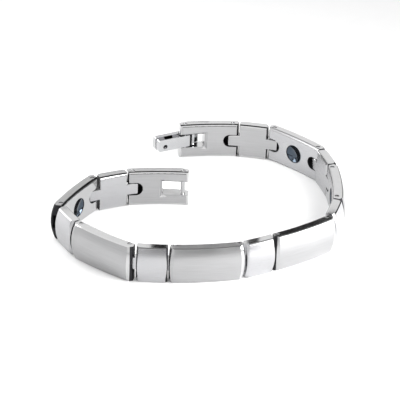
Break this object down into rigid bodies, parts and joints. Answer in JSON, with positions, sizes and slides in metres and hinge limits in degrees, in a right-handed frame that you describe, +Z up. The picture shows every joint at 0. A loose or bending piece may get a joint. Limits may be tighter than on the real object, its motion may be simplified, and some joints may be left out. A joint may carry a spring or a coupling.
{
  "type": "link bracelet",
  "caption": "Titanium link bracelet with round magnets in its links and a folding clasp lever, standing open on its edge.",
  "frame": {"origin": "middle of the loop's bounding box, on the surface that the band stands on", "axes": "+Z up, across the band's width; +X to the right of the picture's view and +Y away from it"},
  "size_m": [0.061, 0.0577, 0.008],
  "materials": {
    "titanium_links": "polished titanium with a fine satin grain",
    "steel_pins": "plain turned pin",
    "magnets": "dark plated, polished",
    "clasp_lever": "polished"
  },
  "bodies": {
    "band": {"long_link_1": "titanium_links", "long_link_2": "titanium_links", "long_link_3": "titanium_links", "long_link_4": "titanium_links", "long_link_5": "titanium_links", "long_link_6": "titanium_links", "small_link_1": "titanium_links", "small_link_2": "titanium_links", "small_link_3": "titanium_links", "small_link_4": "titanium_links", "small_link_5": "titanium_links", "small_link_6": "titanium_links", "small_link_7": "titanium_links", "catch_link": "titanium_links", "clasp_link": "titanium_links", "link_pin_1": "steel_pins", "link_pin_2": "steel_pins", "link_pin_3": "steel_pins", "link_pin_4": "steel_pins", "link_pin_5": "steel_pins", "link_pin_6": "steel_pins", "link_pin_7": "steel_pins", "link_pin_8": "steel_pins", "link_pin_9": "steel_pins", "link_pin_10": "steel_pins", "link_pin_11": "steel_pins", "link_pin_12": "steel_pins", "link_pin_13": "steel_pins", "link_pin_14": "steel_pins", "magnet_1": "magnets", "magnet_2": "magnets", "magnet_3": "magnets", "magnet_4": "magnets", "magnet_5": "magnets", "magnet_6": "magnets", "catch_bar": "steel_pins", "lever_pin": "steel_pins"},
    "lever": {"clasp_lever": "clasp_lever"}
  },
  "joints": [
    {"name": "lever_hinge", "type": "hinge", "parent": "band", "child": "lever", "pos_m": [-0.00383, 0.02551, 0.004], "axis": [0, 0, 1], "range_deg": [-15, 85]}
  ]
}
